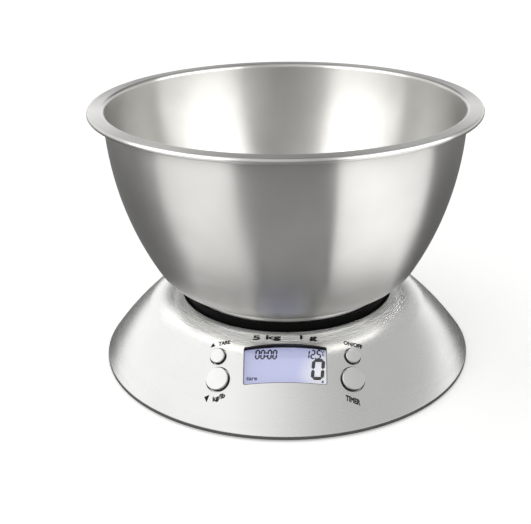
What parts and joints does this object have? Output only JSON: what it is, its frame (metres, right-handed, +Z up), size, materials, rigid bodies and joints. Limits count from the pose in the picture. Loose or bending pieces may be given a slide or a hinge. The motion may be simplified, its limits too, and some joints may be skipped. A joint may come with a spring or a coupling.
{
  "type": "kitchen scale",
  "caption": "Kitchen scale with a lift-off stainless steel bowl on a domed steel base, with a tilted backlit display between round push buttons.",
  "frame": {"origin": "centre of the base on the surface that the rubber feet stand on", "axes": "+Z up, -Y to the front, where the display is, +X to the right"},
  "size_m": [0.2152, 0.2152, 0.1491],
  "materials": {
    "bowl_steel": "satin, spun and brushed",
    "cover_steel": "polished sheet",
    "cap_chrome": "plated, polished",
    "platform_black": "moulded, glossy",
    "housing_black": "moulded, fine texture",
    "liner_black": "moulded",
    "lens_clear": "clear, polished",
    "display": "lit from behind",
    "light_guide": "white diffuser",
    "display_frame": "moulded",
    "circuit_board": "solder mask",
    "component_black": "moulded",
    "component_metal": "drawn can",
    "socket_white": "moulded",
    "cell_aluminium": "machined",
    "gauge_foil": "film",
    "screw_zinc": "zinc plated",
    "foot_rubber": "matte",
    "contact_rubber": "matte",
    "contact_nickel": "nickel plated",
    "battery_sleeve": "printed sleeve, plain",
    "cable_grey": "extruded",
    "lead_red": "extruded"
  },
  "bodies": {
    "base": {"load_cell": "cell_aluminium", "strain_gauges": "gauge_foil", "load_cell_spacer": "screw_zinc", "load_cell_screws": "screw_zinc", "top_cover": "cover_steel", "upper_housing": "liner_black", "lower_housing": "housing_black", "rubber_feet": "foot_rubber", "housing_screws": "screw_zinc", "lcd_window": "lens_clear", "lcd_glass": "display", "lcd_frame": "display_frame", "lcd_backlight": "light_guide", "backlight_led": "light_guide", "zebra_strips": "contact_rubber", "main_board": "circuit_board", "main_board_screws": "screw_zinc", "controller_chip": "component_black", "clock_crystal": "component_metal", "board_capacitors": "component_metal", "temperature_sensor": "component_black", "buzzer": "component_black", "board_connectors": "socket_white", "left_key_board": "circuit_board", "right_key_board": "circuit_board", "key_board_screws": "screw_zinc", "tact_switches": "component_black", "batteries": "battery_sleeve", "battery_springs": "contact_nickel", "battery_contacts": "contact_nickel", "load_cell_cable": "cable_grey", "battery_leads": "lead_red", "left_key_cable": "cable_grey", "right_key_cable": "cable_grey"},
    "platform": {"platform": "platform_black", "platform_spacer": "cell_aluminium", "platform_screws": "screw_zinc"},
    "bowl": {"bowl": "bowl_steel"},
    "battery_door": {"battery_door": "housing_black"},
    "tare_key": {"tare_button": "cap_chrome", "tare_plunger": "component_black"},
    "unit_key": {"unit_button": "cap_chrome", "unit_plunger": "component_black"},
    "power_key": {"power_button": "cap_chrome", "power_plunger": "component_black"},
    "timer_key": {"timer_button": "cap_chrome", "timer_plunger": "component_black"}
  },
  "joints": [
    {"name": "platform_sink", "type": "slide", "parent": "base", "child": "platform", "axis": [0, 0, -1], "range_m": [0, 0.0005], "stiffness_N_per_m": 20000, "deforming": ["load_cell"]},
    {"name": "bowl_lift", "type": "slide", "parent": "platform", "child": "bowl", "axis": [0, 0, 1], "range_m": [0, 0.12]},
    {"name": "tare_press", "type": "slide", "parent": "base", "child": "tare_key", "axis": [0.2824, 0.6388, -0.7157], "range_m": [0, 0.0005], "stiffness_N_per_m": 1500, "springref_m": -0.0004},
    {"name": "unit_press", "type": "slide", "parent": "base", "child": "unit_key", "axis": [0.2824, 0.6388, -0.7157], "range_m": [0, 0.0005], "stiffness_N_per_m": 1500, "springref_m": -0.0004},
    {"name": "power_press", "type": "slide", "parent": "base", "child": "power_key", "axis": [-0.2824, 0.6388, -0.7157], "range_m": [0, 0.0005], "stiffness_N_per_m": 1500, "springref_m": -0.0004},
    {"name": "timer_press", "type": "slide", "parent": "base", "child": "timer_key", "axis": [-0.2824, 0.6388, -0.7157], "range_m": [0, 0.0005], "stiffness_N_per_m": 1500, "springref_m": -0.0004},
    {"name": "battery_door_hinge", "type": "hinge", "parent": "base", "child": "battery_door", "pos_m": [0, 0.0423, 0.002], "axis": [-1, 0, 0], "range_deg": [0, 95]}
  ]
}
